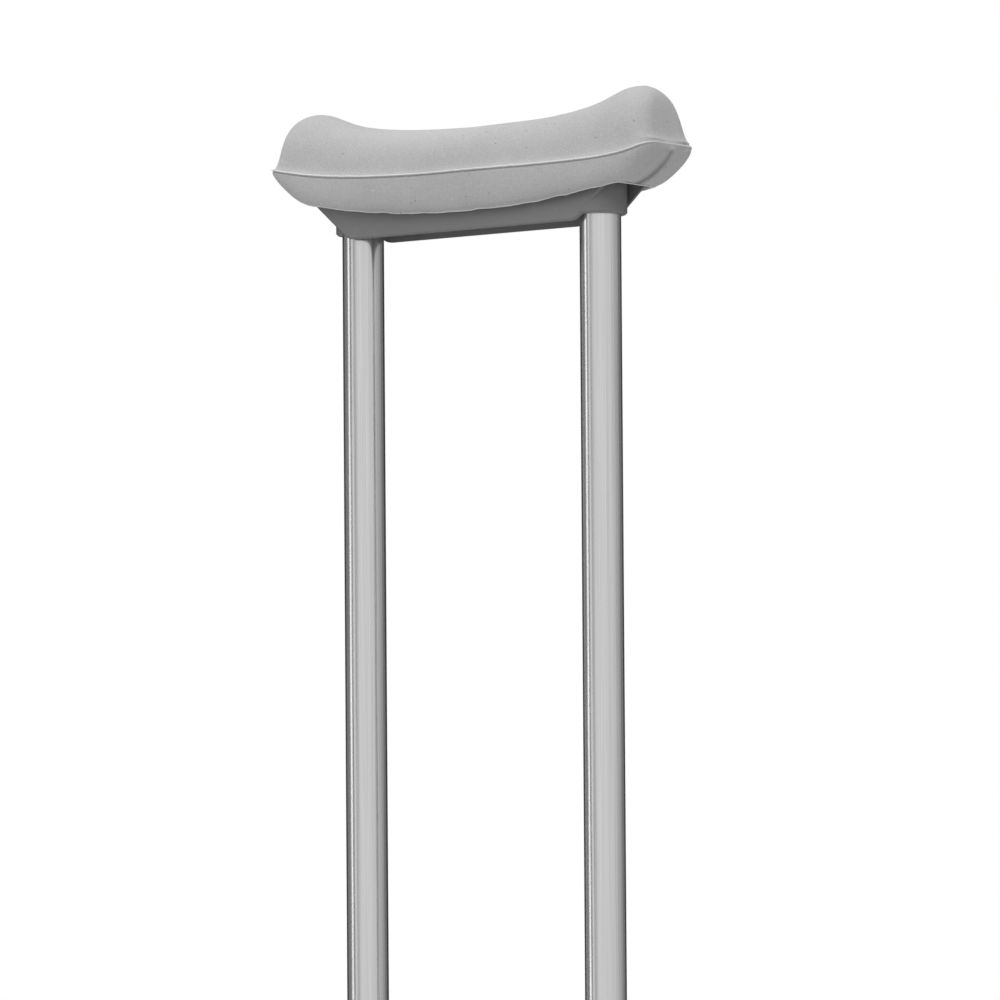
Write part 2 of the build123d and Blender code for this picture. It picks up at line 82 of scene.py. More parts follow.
class Sock:
    """A node's output with arithmetic, where each operator adds the Math node that it stands for."""

    def __init__(self, graph: "Graph", socket: bpy.types.NodeSocket) -> None:
        """Wraps one output socket of a tree."""
        self.graph = graph
        self.socket = socket

    def _math(self, operation: str, first: Value, second: Value) -> "Sock":
        """Adds a Math node of two values.

        Args:
            operation: the Math node's operation.
            first: the first value or link.
            second: the second value or link.

        Returns:
            The node's result.
        """
        return self.graph.node("ShaderNodeMath", {"operation": operation}, {0: first, 1: second})

    def __add__(self, other: Value) -> "Sock":
        """Returns self + other."""
        return self._math("ADD", self, other)

    def __radd__(self, other: Value) -> "Sock":
        """Returns other + self."""
        return self._math("ADD", other, self)

    def __sub__(self, other: Value) -> "Sock":
        """Returns self - other."""
        return self._math("SUBTRACT", self, other)

    def __rsub__(self, other: Value) -> "Sock":
        """Returns other - self."""
        return self._math("SUBTRACT", other, self)

    def __mul__(self, other: Value) -> "Sock":
        """Returns self * other."""
        return self._math("MULTIPLY", self, other)

    def __rmul__(self, other: Value) -> "Sock":
        """Returns other * self."""
        return self._math("MULTIPLY", other, self)

    def __truediv__(self, other: Value) -> "Sock":
        """Returns self / other."""
        return self._math("DIVIDE", self, other)

    def __pow__(self, other: Value) -> "Sock":
        """Returns self raised to other."""
        return self._math("POWER", self, other)


class Graph:
    """A node tree with one method that adds any node."""

    def __init__(self, tree: bpy.types.NodeTree) -> None:
        """Keeps the tree that nodes are added to."""
        self.tree = tree

    def node(
        self,
        kind: str,
        settings: Optional[dict[str, Any]] = None,
        inputs: Optional[dict[Union[int, str], Value]] = None,
        output: Union[int, str] = 0,
    ) -> Sock:
        """Adds a node.

        Args:
            kind: the node's type name.
            settings: its own settings, set before its sockets; "stops" are a ramp's stops.
            inputs: values or links of its input sockets, by name or index.
            output: the output socket that is wanted.

        Returns:
            The wanted output.
        """
        made = self.tree.nodes.new(kind)
        for name, setting in (settings or {}).items():
            if name == "stops":
                self._set_stops(made.color_ramp, setting)
            else:
                setattr(made, name, setting)
        for key, value in (inputs or {}).items():
            if isinstance(value, Sock):
                self.tree.links.new(value.socket, made.inputs[key])
            else:
                made.inputs[key].default_value = value
        return Sock(self, made.outputs[output])

    @staticmethod
    def _set_stops(ramp: bpy.types.ColorRamp, stops: Sequence[tuple[float, Colour]]) -> None:
        """Puts stops of (place, colour) on a ramp that has its two default ones."""
        while len(ramp.elements) < len(stops):
            ramp.elements.new(1.0)
        for element, (place, colour) in zip(ramp.elements, stops):
            element.position = place
            element.color = colour


class Shader(Graph):
    """A material under construction, with one Principled surface."""

    def __init__(self, name: str) -> None:
        """Starts a material that has a surface and an output only."""
        self.material = bpy.data.materials.new(name)
        self.material.use_nodes = True
        super().__init__(self.material.node_tree)
        self.tree.nodes.clear()
        self.surface = self.tree.nodes.new("ShaderNodeBsdfPrincipled")
        end = self.tree.nodes.new("ShaderNodeOutputMaterial")
        self.tree.links.new(self.surface.outputs[0], end.inputs["Surface"])
        coords = self.tree.nodes.new("ShaderNodeTexCoord")
        self.place = Sock(self, coords.outputs["Object"])

    def set(self, **values: Value) -> None:
        """Sets the surface's sockets, named with underscores for spaces."""
        for name, value in values.items():
            socket = self.surface.inputs[name.replace("_", " ").title().replace("Ior", "IOR")]
            if isinstance(value, Sock):
                self.tree.links.new(value.socket, socket)
            else:
                socket.default_value = value

    def stretched(self, scale: Point) -> Sock:
        """Returns the place multiplied by a scale along each axis."""
        return self.node("ShaderNodeVectorMath", {"operation": "MULTIPLY"}, {0: self.place, 1: scale})

    def noise(self, scale: float, detail: float = 2.0, place: Optional[Sock] = None) -> Sock:
        """Returns noise from 0 to 1 at a number of cells per metre."""
        inputs = {"Vector": place or self.place, "Scale": scale, "Detail": detail}
        return self.node("ShaderNodeTexNoise", {}, inputs)

    def cells(self, scale: float, output: str = "Distance") -> Sock:
        """Returns a Voronoi pattern's distance or colour."""
        return self.node("ShaderNodeTexVoronoi", {}, {"Vector": self.place, "Scale": scale}, output)

    def ramp(self, value: Sock, low: float, high: float, start: float = 0.0, end: float = 1.0) -> Sock:
        """Returns value mapped smoothly from low..high to start..end, and held beyond."""
        settings = {"interpolation_type": "SMOOTHSTEP"}
        inputs = {"Value": value, "From Min": low, "From Max": high, "To Min": start, "To Max": end}
        return self.node("ShaderNodeMapRange", settings, inputs)

    def mix(self, factor: Value, first: Value, second: Value) -> Sock:
        """Returns a mix of two colours."""
        inputs = {0: factor, 6: first, 7: second}
        return self.node("ShaderNodeMix", {"data_type": "RGBA"}, inputs, 2)

    def bump(self, height: Sock, depth: float, strength: float = 1.0, under: Optional[Sock] = None) -> Sock:
        """Returns a normal bent by a height whose full range is a depth in metres."""
        inputs: dict[Union[int, str], Value] = {"Height": height, "Distance": depth, "Strength": strength}
        if under is not None:
            inputs["Normal"] = under
        return self.node("ShaderNodeBump", {}, inputs)


# Finishes


@dataclass(frozen=True)
class Foam:
    """Sponge rubber with a closed skin, fine specks and a few pinholes, each dented and painted dark as the
    shade inside it.
    """

    name: str
    colour: float
    speck: float = 0.26
    cell: float = 1150.0

    def build(self) -> bpy.types.Material:
        """Returns the material."""
        shader = Shader(self.name)
        clouds = shader.noise(22.0, 3.0)
        grain = shader.noise(self.cell, 3.0)
        fine = shader.noise(self.cell * 2.3, 1.0)
        speckled = shader.ramp(grain, 0.3, 0.72)
        base = shader.mix(
            shader.ramp(clouds, 0.25, 0.75),
            grey(self.colour * 0.94),
            grey(self.colour * 1.05),
        )
        pale = shader.mix(speckled * self.speck, base, grey(self.colour * 1.5))
        dark = shader.mix(shader.ramp(fine, 0.56, 0.72) * self.speck, pale, grey(self.colour * 0.35))
        pick = shader.node("ShaderNodeSeparateColor", {}, {0: shader.cells(330.0, "Color")})
        spot = shader.ramp(shader.cells(330.0), 0.19, 0.07)
        # pinhole spots: a real dent in the bump, and a dark colour that is painted shade inside each hole
        pinhole_dent_and_painted_shade = spot * shader.ramp(pick, 0.88, 0.9)
        fleck = spot * shader.ramp(pick, 0.1, 0.08)
        shader.set(
            base_color=shader.mix(
                fleck * 0.6,
                shader.mix(pinhole_dent_and_painted_shade * 0.6, dark, grey(self.colour * 0.2)),
                grey(min(0.9, self.colour * 1.6)),
            ),
            roughness=shader.ramp(grain, 0.2, 0.8, 0.96, 0.84),
            specular_ior_level=0.32,
            sheen_weight=0.12,
            sheen_roughness=0.6,
            normal=shader.bump(
                grain - pinhole_dent_and_painted_shade * 0.8,
                0.00028,
                0.7,
                shader.bump(clouds, 0.0012, 0.5),
            ),
        )
        return shader.material


@dataclass(frozen=True)
class Moulded:
    """Injection-moulded plastic with a spark-eroded skin."""

    name: str
    colour: float
    gloss: float = 0.42

    def build(self) -> bpy.types.Material:
        """Returns the material."""
        shader = Shader(self.name)
        flow = shader.noise(9.0, 4.0, shader.stretched((0.5, 1.0, 2.4)))
        skin = shader.noise(1900.0, 2.0)
        scuff = shader.noise(160.0, 5.0)
        worn = shader.ramp(scuff, 0.6, 0.8)
        body = shader.mix(
            shader.ramp(flow, 0.3, 0.7),
            grey(self.colour * 0.9),
            grey(self.colour * 1.1),
        )
        shader.set(
            base_color=shader.mix(worn * 0.18, body, grey(self.colour * 1.7)),
            roughness=shader.ramp(skin, 0.25, 0.75, self.gloss - 0.05, self.gloss + 0.1) + worn * 0.08,
            specular_ior_level=0.5,
            normal=shader.bump(skin, 0.00007, 0.5, shader.bump(flow, 0.0006, 0.25)),
        )
        return shader.material


@dataclass(frozen=True)
class Anodised:
    """Drawn aluminium tube under a clear satin anodising."""

    name: str
    colour: float = 0.74
    gloss: float = 0.17
    grain: Grain = Grain.ALONG_Z

    def build(self) -> bpy.types.Material:
        """Returns the material."""
        shader = Shader(self.name)
        drawn = shader.noise(1.0, 4.0, shader.stretched(self.grain.value))
        wide = shader.noise(1.0, 2.0, shader.stretched(tuple(s * 0.16 for s in self.grain.value)))
        etch = shader.noise(3400.0, 1.0)
        shade = shader.mix(
            shader.ramp(drawn, 0.3, 0.72),
            grey(self.colour * 0.93),
            grey(self.colour * 1.05),
        )
        shader.set(
            base_color=shader.mix(shader.ramp(wide, 0.35, 0.7) * 0.3, shade, grey(self.colour * 0.86)),
            metallic=0.92,
            roughness=shader.ramp(drawn, 0.25, 0.8, self.gloss - 0.03, self.gloss + 0.07),
            normal=shader.bump(drawn + etch * 0.35, 0.00002, 0.3),
        )
        return shader.material


@dataclass(frozen=True)
class Plated:
    """Steel with a bright plated skin, handled and slightly smudged."""

    name: str
    colour: float = 0.68
    gloss: float = 0.2
    grain: Grain = Grain.ALONG_X

    def build(self) -> bpy.types.Material:
        """Returns the material."""
        shader = Shader(self.name)
        smudge = shader.noise(70.0, 5.0)
        turned = shader.noise(1.0, 3.0, shader.stretched(self.grain.value))
        pits = shader.noise(2200.0, 2.0)
        skin = shader.mix(
            shader.ramp(smudge, 0.35, 0.7),
            grey(self.colour),
            (self.colour * 0.86, self.colour * 0.85, self.colour * 0.82, 1.0),
        )
        shader.set(
            base_color=shader.mix(shader.ramp(pits, 0.62, 0.75) * 0.35, skin, grey(self.colour * 0.5)),
            metallic=1.0,
            roughness=shader.ramp(smudge, 0.3, 0.75, self.gloss, self.gloss + 0.16),
            normal=shader.bump(turned * 0.6 + pits * 0.4, 0.00004, 0.5),
        )
        return shader.material


@dataclass(frozen=True)
class Rubber:
    """Moulded rubber with a dusty bloom."""

    name: str
    colour: float

    def build(self) -> bpy.types.Material:
        """Returns the material."""
        shader = Shader(self.name)
        bloom = shader.noise(55.0, 5.0)
        skin = shader.noise(1500.0, 3.0)
        height = shader.node("ShaderNodeSeparateXYZ", {}, {0: shader.place}, 2)
        scuffed = shader.ramp(height, 0.016, 0.0) * shader.ramp(bloom, 0.35, 0.65)
        body = shader.mix(shader.ramp(bloom, 0.35, 0.75), grey(self.colour), grey(self.colour * 1.5))
        shader.set(
            base_color=shader.mix(scuffed * 0.5, body, grey(self.colour * 2.6)),
            roughness=shader.ramp(bloom, 0.3, 0.7, 0.62, 0.82),
            specular_ior_level=0.4,
            normal=shader.bump(skin, 0.00012, 0.45),
        )
        return shader.material


@dataclass(frozen=True)
class Palette:
    """The crutch's finishes, each built once."""

    pad: bpy.types.Material
    # a foam much paler than the pad: painted highlight for the seam and rim beads
    pad_edge: bpy.types.Material
    sleeve: bpy.types.Material
    saddle: bpy.types.Material
    plug: bpy.types.Material
    tube: bpy.types.Material
    plated: bpy.types.Material
    spring: bpy.types.Material
    tip: bpy.types.Material
    cut_edge: bpy.types.Material

    @classmethod
    def build(cls) -> "Palette":
        """Returns the palette."""
        return cls(
            pad=Foam("pad_foam", 0.52).build(),
            # pad edge foam: much paler than the pad, a painted highlight on the seam and rim beads
            pad_edge=Foam("pad_edge_painted_highlight", 0.82, 0.1).build(),
            sleeve=Foam("grip_foam", 0.5).build(),
            saddle=Moulded("saddle_plastic", 0.21).build(),
            plug=Moulded("plug_plastic", 0.07, 0.36).build(),
            tube=Anodised("anodised_tube").build(),
            plated=Plated("plated_steel").build(),
            spring=Plated("spring_steel", 0.4, 0.3, Grain.ALONG_Z).build(),
            tip=Rubber("tip_rubber", 0.13).build(),
            cut_edge=Plated("cut_edge", 0.8, 0.2, Grain.ALONG_Z).build(),
        )


# Geometry Nodes


class Recipe(Graph):
    """A Geometry Nodes tree with named sizes, whose result becomes a plain mesh."""

    def __init__(self, name: str) -> None:
        """Starts an empty tree with a geometry in and out."""
        super().__init__(bpy.data.node_groups.new(name, "GeometryNodeTree"))
        self.sizes: dict[str, float] = {}
        self._add_socket("Path", "INPUT", "NodeSocketGeometry")
        self._add_socket("Piece", "OUTPUT", "NodeSocketGeometry")
        self.start = self.tree.nodes.new("NodeGroupInput")

    def _add_socket(self, name: str, way: str, kind: str) -> bpy.types.NodeTreeInterfaceSocket:
        """Adds a socket to the tree's own interface."""
        return self.tree.interface.new_socket(name=name, in_out=way, socket_type=kind)

    @property
    def path(self) -> Sock:
        """The mesh that the modifier starts from."""
        return Sock(self, self.start.outputs["Path"])

    def size(self, name: str, value: float, whole: bool = False) -> Sock:
        """Adds a named size.

        Args:
            name: the size's name.
            value: what it is set to on the modifier.
            whole: whether it is a whole number.

        Returns:
            The size's socket inside the tree.
        """
        self._add_socket(name, "INPUT", "NodeSocketInt" if whole else "NodeSocketFloat")
        self.sizes[name] = value
        return Sock(self, self.start.outputs[name])

    def vector(self, x: Value = 0.0, y: Value = 0.0, z: Value = 0.0) -> Sock:
        """Returns a vector of three values or links."""
        return self.node("ShaderNodeCombineXYZ", {}, {0: x, 1: y, 2: z})

    def run(
        self,
        piece: Sock,
        name: str,
        material: bpy.types.Material,
        path: Optional[bpy.types.Mesh],
    ) -> bpy.types.Object:
        """Ends the tree, runs it and keeps its result as a plain mesh.

        Args:
            piece: the geometry that the tree makes.
            name: the new object's name.
            material: the finish that it gets.
            path: the mesh that the tree starts from, if it needs one.

        Returns:
            The object, with no modifier left on it.
        """
        smooth = self.node("GeometryNodeSetShadeSmooth", {}, {"Geometry": piece})
        real = self.node("GeometryNodeRealizeInstances", {}, {0: smooth})
        dressed = self.node("GeometryNodeSetMaterial", {}, {"Geometry": real, "Material": material})
        end = self.tree.nodes.new("NodeGroupOutput")
        self.tree.links.new(dressed.socket, end.inputs["Piece"])
        source = bpy.data.objects.new(name + "_source", path or bpy.data.meshes.new(name + "_path"))
        bpy.context.scene.collection.objects.link(source)
        modifier = source.modifiers.new("recipe", "NODES")
        modifier.node_group = self.tree
        for item in self.tree.interface.items_tree:
            if item.in_out == "INPUT" and item.name in self.sizes:
                modifier[item.identifier] = self.sizes[item.name]
        view_layer = bpy.context.evaluated_depsgraph_get()
        mesh = bpy.data.meshes.new_from_object(source.evaluated_get(view_layer))
        bpy.data.objects.remove(source)
        mesh.name = name
        made = bpy.data.objects.new(name, mesh)
        bpy.context.scene.collection.objects.link(made)
        return made


# Meshes


def add_object(name: str, mesh: bpy.types.Mesh, material: bpy.types.Material) -> bpy.types.Object:
    """Links a new object that shows a mesh in one finish, shaded smooth."""
    mesh.materials.clear()
    mesh.materials.append(material)
    mesh.polygons.foreach_set("use_smooth", [True] * len(mesh.polygons))
    made = bpy.data.objects.new(name, mesh)
    bpy.context.scene.collection.objects.link(made)
    return made


def lofted(name: str, rings: Sequence[Sequence[Point]]) -> bpy.types.Mesh:
    """Joins closed rings of points in order, and closes the two ends with a face each.

    Args:
        name: the mesh's name.
        rings: rings with the same number of points, wound the same way.

    Returns:
        A closed mesh.
    """
    count = len(rings[0])
    points = [point for ring in rings for point in ring]
    faces: list[tuple[int, ...]] = []
    for ring in range(len(rings) - 1):
        low = ring * count
        for n in range(count):
            after = (n + 1) % count
            faces.append((low + n, low + after, low + count + after, low + count + n))
    faces.append(tuple(reversed(range(count))))
    faces.append(tuple(range(len(points) - count, len(points))))
    mesh = bpy.data.meshes.new(name)
    mesh.from_pydata(points, [], faces)
    mesh.validate()
    return mesh


def turn_outwards(mesh: bpy.types.Mesh) -> None:
    """Turns a closed mesh's faces so that all of them point outwards."""
    shell = bmesh.new()
    shell.from_mesh(mesh)
    bmesh.ops.recalc_face_normals(shell, faces=shell.faces)
    shell.to_mesh(mesh)
    shell.free()


def between(table: Sequence[tuple[float, float]], x: float) -> float:
    """Reads a table of (x, y) at x with a curve that doesn't overshoot its points.

    Args:
        table: points in the order of x.
        x: where to read.

    Returns:
        The curve's y, held at the table's ends.
    """
    if x <= table[0][0]:
        return table[0][1]
    if x >= table[-1][0]:
        return table[-1][1]
    spans = [(b[0] - a[0], (b[1] - a[1]) / (b[0] - a[0])) for a, b in zip(table, table[1:])]
    slopes = [spans[0][1]]
    for (width_a, rise_a), (width_b, rise_b) in zip(spans, spans[1:]):
        if rise_a * rise_b <= 0:
            slopes.append(0.0)
        else:
            weight_a, weight_b = 2 * width_b + width_a, width_b + 2 * width_a
            slopes.append((weight_a + weight_b) / (weight_a / rise_a + weight_b / rise_b))
    slopes.append(spans[-1][1])
    n = max(i for i in range(len(spans)) if table[i][0] <= x)
    width, _ = spans[n]
    t = (x - table[n][0]) / width
    return (
        (1 + 2 * t) * (1 - t) ** 2 * table[n][1]
        + t * (1 - t) ** 2 * width * slopes[n]
        + t * t * (3 - 2 * t) * table[n + 1][1]
        + t * t * (t - 1) * width * slopes[n + 1]
    )


# The crutch's sub-assemblies


@dataclass
class UnderarmPad:
    """The moulded foam pad: a crown over a lipped seam, and a shell that folds under the saddle.

    Levels are measured in millimetres from the lowest place of the crown's top line.
    """

    dip_level: float = 1425.8
    half_length: float = 125.5
    half_width: float = 23.5
    corner: float = 9.5
    horn_corner: float = 10.5
    lip: float = 0.35
    flare: float = 1.3
    flare_height: float = 2.6
    crown_power: float = 2.35
    stations: int = 170
    top_line: tuple[tuple[float, float], ...] = (
        (0.0, 0.0),
        (37.7, 1.0),
        (57.7, 2.7),
        (75.3, 5.4),
        (85.3, 8.1),
        (92.9, 10.9),
        (99.8, 13.3),
        (107.0, 14.2),
        (113.2, 12.6),
        (117.2, 8.6),
        (119.4, 3.2),
        (120.7, -3.0),
        (121.7, -8.5),
        (122.8, -12.6),
        (124.0, -15.0),
        (125.2, -16.3),
    )
    crown_foot: float = 0.3
    crown_steps: int = 28
    flank_steps: int = 17
    lip_points: tuple[tuple[float, float], ...] = (
        (-0.15, 0.15),
        (0.0, -0.15),
        (-0.1, -0.5),
        (-0.9, -0.7),
        (-0.9, -1.15),
        (-0.3, -1.5),
    )
    seam_drop: float = 25.2
    seam_rises: tuple[float, float] = (10.0, 7.1)
    seam_bends: tuple[float, float] = (3.0, 6.5)
    rim_drop: float = 46.4
    rim_curves: tuple[float, float] = (10.4, 8.4)
    end_depth: float = 3.4
    end_bend: float = 1.5
    end_start: float = 100.0
    foot_half: float = 18.4
    foot_start: float = 92.0
    foot_taper: float = 9.4
    slot_half: tuple[float, float] = (102.6, 16.8)
    slot_corner: float = 7.0
    deck_level: float = -29.0
    deck_radius: float = 760.0

    def seam(self, x: float) -> float:
        """Returns the seam's level at x."""
        end = 0 if x < 0 else 1
        return -self.seam_drop + self.seam_rises[end] * (abs(x) / self.half_length) ** self.seam_bends[end]

    def rim(self, x: float) -> float:
        """Returns the level of the pad's lower edge at x."""
        curve = self.rim_curves[0 if x < 0 else 1]
        inner = min(abs(x), self.end_start) / self.end_start
        level = -self.rim_drop + curve * inner**2
        reach = max(0.0, (abs(x) - self.end_start) / (self.half_length - self.end_start))
        return level + (self.seam(x) - self.end_depth - level) * reach**self.end_bend

    def lip_half(self, x: float) -> float:
        """Returns the lip's half width at x: straight sides with rounded corners and a flat end."""
        reach = max(0.0, abs(x) - self.half_length + self.corner)
        return self.half_width - self.corner + math.sqrt(max(0.0, self.corner**2 - reach**2))

    def foot(self, x: float) -> float:
        """Returns the half width of the pad's lower edge at x."""
        reach = max(0.0, abs(x) - self.foot_start) / (self.half_length - self.foot_start)
        return self.foot_half - self.foot_taper * reach**2

    def crown_half(self, x: float, level: float, height: float) -> float:
        """Returns the crown's half width where its sides reach a level.

        Args:
            x: the section's place.
            level: the level above or below the dip.
            height: the same level as a height over the seam.

        Returns:
            The half width, less where the horn rounds its corner.
        """
        seam = self.seam(x) + self.crown_foot
        horn_x, horn_top = max(self.top_line, key=lambda place: place[1])
        head = (horn_top if abs(x) > horn_x else between(self.top_line, abs(x))) - seam
        crown = self.half_width - self.lip - self.flare
        share = min(1.0, height / max(head, 0.1))
        half = crown * (1 - share**self.crown_power) ** (1 / self.crown_power)
        outer = sorted((z, place) for place, z in self.top_line if place >= horn_x)
        radius = self.corner + (self.horn_corner - self.corner) * share
        past = abs(x) - between(outer, level) + radius
        if past <= 0:
            return half
        bend = math.sqrt(max(0.0, 1 - (past / radius) ** 2))
        return half * bend if half < radius else half - radius * (1 - bend)

    def section(self, x: float) -> list[Point]:
        """Returns one closed ring of the pad at x, from the crown's left edge over its top and round."""
        seam, rim, lip, foot = self.seam(x), self.rim(x), self.lip_half(x), self.foot(x)
        base = seam + self.crown_foot
        top = max(between(self.top_line, abs(x)), base)
        crown = self.half_width - self.lip - self.flare
        power = 2 / self.crown_power
        steps = self.crown_steps
        right: list[tuple[float, float]] = [(0.0, top)]
        for n in range(1, steps + 1):
            rise = math.sin(math.radians(90 - n * 90 / steps)) ** power if n < steps else 0.0
            height = rise * (top - base)
            across = min(self.crown_half(x, base + height, height), lip - self.lip - self.flare)
            across += (across / crown) ** 3 * self.flare * math.exp(-height / self.flare_height)
            right.append((max(across, 0.02 * n), base + height))
        right += [(lip + out, seam + up) for out, up in self.lip_points]
        under, start = right[-1]
        roundness = 2.3 - 0.5 * min(1.0, max(0.0, abs(x) - 95.0) / 25.0)
        for n in range(1, self.flank_steps):
            t = n / self.flank_steps
            bulge = math.sqrt(max(0.0, 1 - t**roundness))
            right.append((foot + (under - foot) * bulge, start - (start - rim) * t))
        right.extend(self.underside(x, foot, rim))
        left = [(-y, z) for y, z in reversed(right[1:])]
        return [(x, y, z) for y, z in left + right]

    def underside(self, x: float, foot: float, rim: float) -> list[tuple[float, float]]:
        """Returns the ring's points from the foot in to the middle, round the slot where it is open."""
        slot_end, slot_half = self.slot_half
        reach = (abs(x) - slot_end + self.slot_corner) / self.slot_corner
        if reach >= 1:
            return [(foot * share, rim) for share in (1.0, 0.97, 0.93, 0.86, 0.7, 0.4, 0.0)]
        half = slot_half
        if reach > 0:
            half -= self.slot_corner * (1 - math.sqrt(1 - reach**2))
        deck = self.deck_level + self.deck_radius - math.sqrt(self.deck_radius**2 - x * x)
        return [
            (foot, rim + 0.2),
            (foot - 0.45, rim - 0.1),
            (half + 0.45, rim - 0.1),
            (half, rim + 0.3),
            (half, rim + 2.0),
            (half, deck),
            (0.0, deck),
        ]

    def places(self) -> list[float]:
        """Returns the sections' places along X, closer together towards the ends and at the slot's."""
        found = [
            self.half_length * math.sin(math.pi * (n / (self.stations - 1) - 0.5))
            for n in range(self.stations)
        ]
        slot_end = self.slot_half[0]
        for sign in (-1, 1):
            found += [sign * (slot_end - step) for step in (4.5, 2.5, 1.0, 0.3, 0.02, -0.02)]
        return sorted(found)

    def build(self, palette: Palette) -> None:
        """Makes the pad and its seam's bead in place of the plain solid."""
        rings = [[self.settle(point) for point in self.section(x)] for x in self.places()]
        mesh = lofted("arm_pad", rings)
        turn_outwards(mesh)
        pad = add_object("arm_pad", mesh, palette.pad)
        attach(pad, "frame")
        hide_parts("underarm_pad")
        log.info("arm_pad: %d faces", len(pad.data.polygons))
        self.build_seam(palette)
        self.build_rim(palette)

    def settle(self, point: Point) -> Point:
        """Moves a point by the foam's slight unevenness, and from millimetres into the frame."""
        x, y, z = point
        place = Vector((x, y, z)) * 0.03
        wave = noise.noise(place) * 0.35 + noise.noise(place * 3.1) * 0.12
        inside = z < self.seam(x) and abs(y) < self.slot_half[1] + 0.5
        swell = 0.0 if inside else wave
        edge = max(0.0, 1 - abs(z - self.rim(x)) / 3.0) * (abs(y) > 10.0)
        z += edge * 0.45 * noise.noise(Vector((x * 0.11, y * 0.02, 4.0)))
        radial = swell * (1 if y >= 0 else -1) * min(1.0, abs(y) / 8)
        return (x * MM, (y + radial) * MM, (self.dip_level + z + swell * 0.5) * MM)

    def build_bead(
        self,
        name: str,
        points: Sequence[Point],
        radius: float,
        material: bpy.types.Material,
    ) -> None:
        """Makes a thin uneven bead of foam skin along a closed line on the pad.

        Args:
            name: the piece's name.
            points: the line's points in the frame.
            radius: the bead's radius in millimetres.
            material: its finish.
        """
        count = len(points)
        path = bpy.data.meshes.new(name + "_path")
        path.from_pydata(points, [(n, (n + 1) % count) for n in range(count)], [])
        recipe = Recipe(name)
        thickness = recipe.size("Bead radius", radius * MM)
        spacing = recipe.size("Spacing", 0.9 * MM)
        line = recipe.node("GeometryNodeMeshToCurve", {}, {0: recipe.path})
        inputs = {"Curve": line, "Length": spacing}
        even = recipe.node("GeometryNodeResampleCurve", {"mode": "LENGTH"}, inputs)
        uneven = recipe.node("ShaderNodeTexNoise", {}, {"Scale": 260.0, "Detail": 2.0}) - 0.5
        drift = recipe.vector(0.0, 0.0, uneven * (0.5 * MM))
        moved = recipe.node("GeometryNodeSetPosition", {}, {"Geometry": even, "Offset": drift})
        inputs = {"Resolution": 8, "Radius": thickness}
        profile = recipe.node("GeometryNodeCurvePrimitiveCircle", {}, inputs)
        bead = recipe.node("GeometryNodeCurveToMesh", {}, {"Curve": moved, "Profile Curve": profile})
        made = recipe.run(bead, name, material, path)
        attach(made, "frame")
        log.info("%s: %d faces", name, len(made.data.polygons))

    def build_seam(self, palette: Palette) -> None:
        """Makes the flash line that the mould leaves along the pad's lip, in a paler foam that is a painted
        highlight along it.
        """
        count = 520
        points: list[Point] = []
        for n in range(count):
            angle = 2 * math.pi * (n + 0.5) / count
            x = self.half_length * 0.999 * math.sin(angle)
            side = 1 if math.cos(angle) > 0 else -1
            points.append(self.settle((x, side * (self.lip_half(x) - 0.1), self.seam(x) - 0.05)))
        self.build_bead("pad_seam", points, 0.42, palette.pad_edge)

    def build_rim(self, palette: Palette) -> None:
        """Makes the cut skin along the opening's edge as a bead in a paler foam that is a painted highlight
        along the edge.
        """
        reach = self.slot_half[0] - 1.0
        count = 130
        places = [-reach + 2 * reach * n / (count - 1) for n in range(count)]
        near = [self.settle((x, -self.foot(x) + 0.35, self.rim(x) - 0.05)) for x in places]
        far = [self.settle((x, self.foot(x) - 0.35, self.rim(x) - 0.05)) for x in reversed(places)]
        self.build_bead("pad_rim", near + far, 0.4, palette.pad_edge)


@dataclass(frozen=True)
class HoleRow:
    """A row of through holes in an upright tube. Lengths are in millimetres."""

    name: str
    body: str
    tube_x: float
    tube_radius: float
    hole_radius: float
    lowest: float
    pitch: float
    count: int
    along_x: bool

    def rim_path(self) -> bpy.types.Mesh:
        """Returns the edge of the lowest pair of holes as two closed lines on the tube's surface."""
        steps = 40
        points: list[Point] = []
        edges: list[tuple[int, int]] = []
        for side in (-1, 1):
            first = len(points)
            for n in range(steps):
                angle = 2 * math.pi * n / steps
                across = self.hole_radius * math.cos(angle)
                out = side * math.sqrt(self.tube_radius**2 - across**2)
                x, y = (out, across) if self.along_x else (across, out)
                level = self.lowest + self.hole_radius * math.sin(angle)
                points.append(((self.tube_x + x) * MM, y * MM, level * MM))
                edges.append((first + n, first + (n + 1) % steps))
        path = bpy.data.meshes.new(self.name + "_path")
        path.from_pydata(points, edges, [])
        return path

    def build(self, palette: Palette) -> None:
        """Makes the bright turned edges of all the row's holes."""
        recipe = Recipe(self.name)
        radius = recipe.size("Edge radius", 0.26 * MM)
        pitch = recipe.size("Pitch", self.pitch * MM)
        count = recipe.size("Count", self.count, whole=True)
        line = recipe.node("GeometryNodeMeshToCurve", {}, {0: recipe.path})
        profile = recipe.node("GeometryNodeCurvePrimitiveCircle", {}, {"Resolution": 6, "Radius": radius})
        rim = recipe.node("GeometryNodeCurveToMesh", {}, {"Curve": line, "Profile Curve": profile})
        step = recipe.vector(0.0, 0.0, pitch)
        places = recipe.node("GeometryNodeMeshLine", {}, {"Count": count, "Offset": step})
        rims = recipe.node("GeometryNodeInstanceOnPoints", {}, {"Points": places, "Instance": rim})
        made = recipe.run(rims, self.name, palette.cut_edge, self.rim_path())
        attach(made, self.body)
        log.info("%s: %d faces", self.name, len(made.data.polygons))


